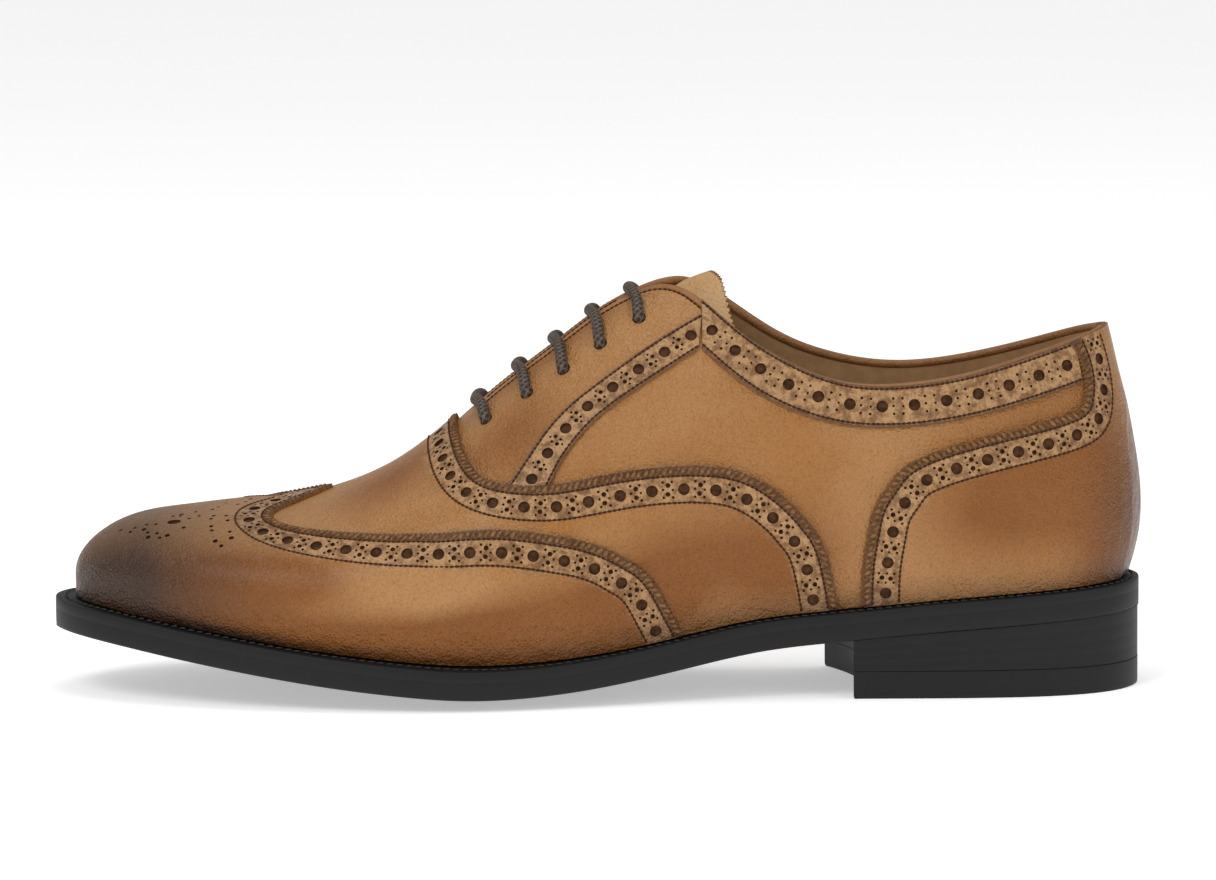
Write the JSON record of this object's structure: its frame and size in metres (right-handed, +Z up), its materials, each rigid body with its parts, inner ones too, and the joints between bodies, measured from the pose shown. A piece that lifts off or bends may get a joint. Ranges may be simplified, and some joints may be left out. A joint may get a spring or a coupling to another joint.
{
  "type": "brogue shoe",
  "caption": "Low lace-up leather shoe for the left foot: hollow upper with punched overlays, tongue and laced throat on a welted sole with a stacked heel.",
  "frame": {"origin": "bottom centre of the bounding box, on the floor between heel and toe", "axes": "+Z up, -X toward the toe, +X toward the heel, -Y the outer side of the foot, +Y the inner side"},
  "size_m": [0.3046, 0.1002, 0.1162],
  "materials": {
    "tan_leather": "polished calf, satin",
    "brogued_leather": "polished calf, mottled",
    "burnished_leather": "burnished calf, gloss",
    "lining_leather": "matte",
    "black_sole_leather": "dyed edge, satin",
    "black_rubber": "matte",
    "brown_cord": "waxed braid"
  },
  "bodies": {
    "root": {"upper": "tan_leather", "vamp": "tan_leather", "tongue": "brogued_leather", "wing_cap": "burnished_leather", "heel_counter": "burnished_leather", "facing_strap_lateral": "brogued_leather", "facing_strap_medial": "brogued_leather", "collar_strap_lateral": "brogued_leather", "collar_strap_medial": "brogued_leather", "insole": "lining_leather", "outsole": "black_sole_leather", "welt": "black_sole_leather", "heel_base": "black_sole_leather", "top_lift": "black_rubber", "lace": "brown_cord"}
  },
  "joints": []
}
